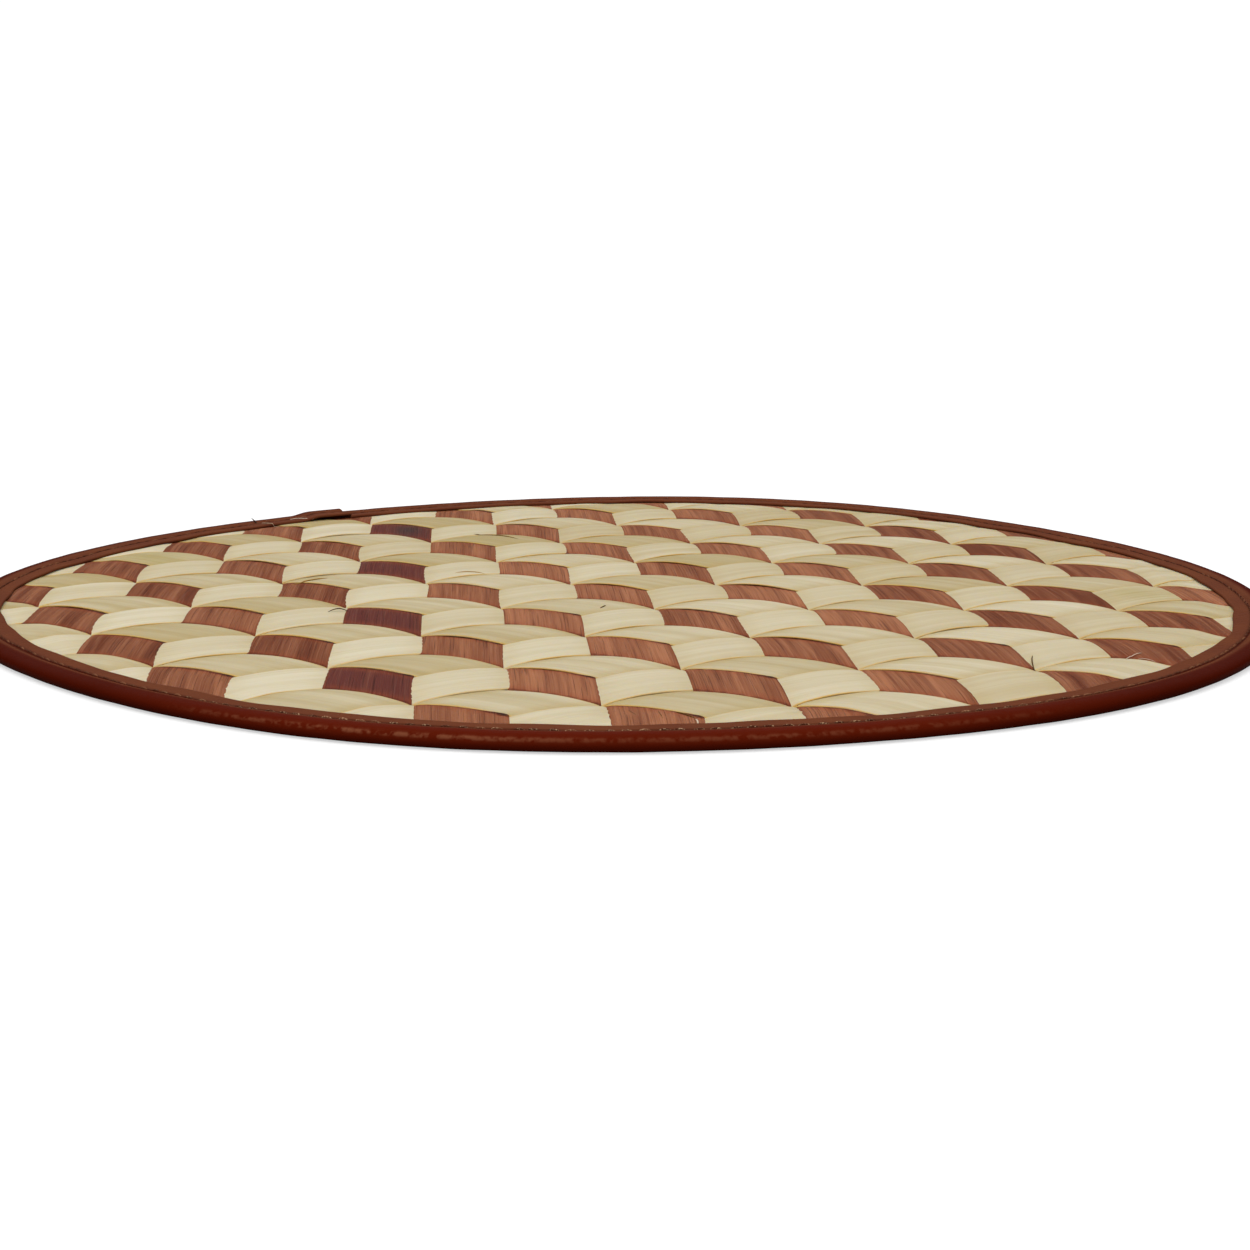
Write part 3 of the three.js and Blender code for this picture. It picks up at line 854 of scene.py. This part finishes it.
def tape_top(x, y):
    """Height of the tape's upper side: the level of its inner part up to the furrow, or the roll's
    ellipse where that is higher, and 0 inside the tape's inner lip."""
    radius = np.hypot(x, y) - swelling(x, y)
    degrees = lap_end + (np.degrees(np.arctan2(y, x)) - lap_end) % 360
    inner = (np.interp(degrees, ring_degrees, furrow_level) + furrow_depth) * (radius < stitch_radius)
    roll = roll_height / 2 * np.sqrt(np.maximum(1 - ((radius - roll_centre) / (roll_width / 2))**2, 0))
    return np.where(radius > mouth_radius, weave_middle + np.maximum(inner, roll), 0)


def fibre_points(start, through, end, lift, tip, width):
    """One sliver: a square tube along the parabola through three places, arched up from what it lies on
    in a half sine. A tip rises with the square of the way. Both ends thin by the fourth power."""
    t = np.linspace(0, 1, fibre_rings)[:, None]
    start, through, end = (np.array(place, float) for place in (start, through, end))
    line = (1 - t) * (1 - 2 * t) * start + 4 * t * (1 - t) * through + t * (2 * t - 1) * end
    ways = np.gradient(line, axis=0)
    ways = np.stack([-ways[:, 1], ways[:, 0]], -1) / np.linalg.norm(ways, axis=1, keepdims=True)
    thick = width / 2 * (1 - (2 * t - 1)**4 * fibre_taper)
    girth = np.linspace(0, 2 * np.pi, fibre_sides, endpoint=False)[None]
    below = np.maximum(weave_top(*line.T), tape_top(*line.T))[:, None]
    level = below + lift * np.sin(np.pi * t) + tip * t**2 - fibre_seat
    out = thick * np.cos(girth)
    places = line[:, None] + out[..., None] * ways[:, None]
    return np.concatenate([places, (level + fibre_flatness * thick * np.sin(girth))[..., None]], -1)


def fibres_piece():
    """All slivers in one mesh. The closed ends are single quads."""
    points = np.concatenate([fibre_points(*shape).reshape(-1, 3) for *shape, tone in fibres])
    size = fibre_rings * fibre_sides
    ends = np.array([[3, 2, 1, 0], [size - 4, size - 3, size - 2, size - 1]])
    one = np.concatenate([quads_of(fibre_rings, fibre_sides), ends])
    faces = (one[None] + size * np.arange(len(fibres))[:, None, None]).reshape(-1, 4)
    along = np.tile(np.repeat(np.linspace(0, 1, fibre_rings), fibre_sides), len(fibres))
    tone = np.repeat([fibre[-1] for fibre in fibres], size)
    piece = mesh_piece("loose_fibres", points, faces, np.stack([0 * along, along], -1), {"tone": tone})
    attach(piece, "root")
    return piece


fibre_dark = (52, 30, 20)
fibre_golden = (150, 112, 48)
fibre_white = (228, 208, 186)
fibre_grain = (0.3, (120, 84, 50))


def fibre_material():
    """Torn bamboo: dark brown where it is dyed, golden or nearly white where the inside shows."""
    made, tree, shader = new_material("torn bamboo")
    tone = mark_of(tree, "tone")
    undyed = ranged(tree, tone, -1.0, 0.0)
    colour = mix_colours(tree, undyed, from_screen(*fibre_dark), from_screen(*fibre_golden))
    colour = mix_colours(tree, ranged(tree, tone, 0.2, 1.0), colour, from_screen(*fibre_white))
    place = add(tree, "ShaderNodeTexCoord").outputs["Object"]
    grain = add(tree, "ShaderNodeTexNoise", {"Vector": place, "Scale": 900.0, "Detail": 2.0}).outputs[0]
    colour = tinted(tree, colour, ranged(tree, grain, 0.5, 0.75), *fibre_grain)
    tree.links.new(colour, shader.inputs["Base Color"])
    shader.inputs["Roughness"].default_value = 0.7
    shader.inputs["Specular IOR Level"].default_value = 0.04
    return made


loose_fibres = fibres_piece()
loose_fibres.data.materials.append(fibre_material())

# The table top, the light and the camera
# A plain pale ground that looks white and takes a faint contact shadow, light from all round that is
# brightest overhead, and two soft lamps. The camera is the one that was fitted to the photograph.
# Everything here is in metres.
floor_mesh = bpy.data.meshes.new("floor")
floor_mesh.from_pydata([(-6, -3, 0), (6, -3, 0), (6, 14, 0), (-6, 14, 0)], [], [(0, 1, 2, 3)])
floor = bpy.data.objects.new("floor", floor_mesh)
bpy.context.scene.collection.objects.link(floor)
floor_material, floor_tree, floor_shader = new_material("pale floor")
straight = add(floor_tree, "ShaderNodeLightPath").outputs["Is Camera Ray"]
floor_colour = mix_colours(floor_tree, straight, (0.25, 0.25, 0.25, 1), (0.42, 0.42, 0.42, 1))
floor_tree.links.new(floor_colour, floor_shader.inputs["Base Color"])
floor_glow = mix_colours(floor_tree, straight, (0, 0, 0, 1), (0.55, 0.55, 0.55, 1))
floor_tree.links.new(floor_glow, floor_shader.inputs["Emission Color"])
floor_shader.inputs["Emission Strength"].default_value = 1
floor_shader.inputs["Roughness"].default_value = 0.9
floor_shader.inputs["Specular IOR Level"].default_value = 0
floor.data.materials.append(floor_material)

world = bpy.data.worlds.new("studio")
world.use_nodes = True
sky = world.node_tree
toward = add(sky, "ShaderNodeSeparateXYZ", {0: add(sky, "ShaderNodeTexCoord").outputs["Generated"]})
strength = ranged(sky, toward.outputs[2], 0.12, 0.75, 0.05, 1.5, "SMOOTHSTEP")
seen = add(sky, "ShaderNodeLightPath").outputs["Is Camera Ray"]
strength = math_node(sky, "MAXIMUM", strength, math_node(sky, "MULTIPLY", seen, 1.05))
sky.nodes["Background"].inputs["Color"].default_value = (1, 1, 1, 1)
sky.links.new(strength, sky.nodes["Background"].inputs["Strength"])
bpy.context.scene.world = world


def add_lamp(name, size, energy, location, degrees):
    """A soft rectangular lamp, tipped from straight down by degrees about X and then Y."""
    data = bpy.data.lights.new(name, "AREA")
    data.shape = "RECTANGLE"
    data.size, data.size_y = size
    data.energy = energy
    lamp = bpy.data.objects.new(name, data)
    lamp.location = location
    lamp.rotation_euler = np.radians((*degrees, 0))
    bpy.context.scene.collection.objects.link(lamp)


add_lamp("soft light", (1.2, 0.8), 6, (-0.3, -0.6, 1.4), (22, -12))
add_lamp("low front light", (0.7, 0.1), 3.4, (-0.1, -1.5, 0.24), (82, 0))

degrees_down = 11.26          # where the camera looks: down from level, and left of +Y
degrees_left = 0.14
camera_data = bpy.data.cameras.new("camera")
camera_data.sensor_width = 36
camera_data.lens = 62.46
camera_data.clip_start = 0.05
camera_data.clip_end = 50
camera = bpy.data.objects.new("camera", camera_data)
camera.location = (0.0003, -0.6475, 0.1202)
camera.rotation_mode = "ZYX"
camera.rotation_euler = (math.radians(90 - degrees_down), 0, math.radians(degrees_left))
bpy.context.scene.collection.objects.link(camera)
bpy.context.scene.camera = camera
bpy.context.scene.view_settings.view_transform = "Standard"
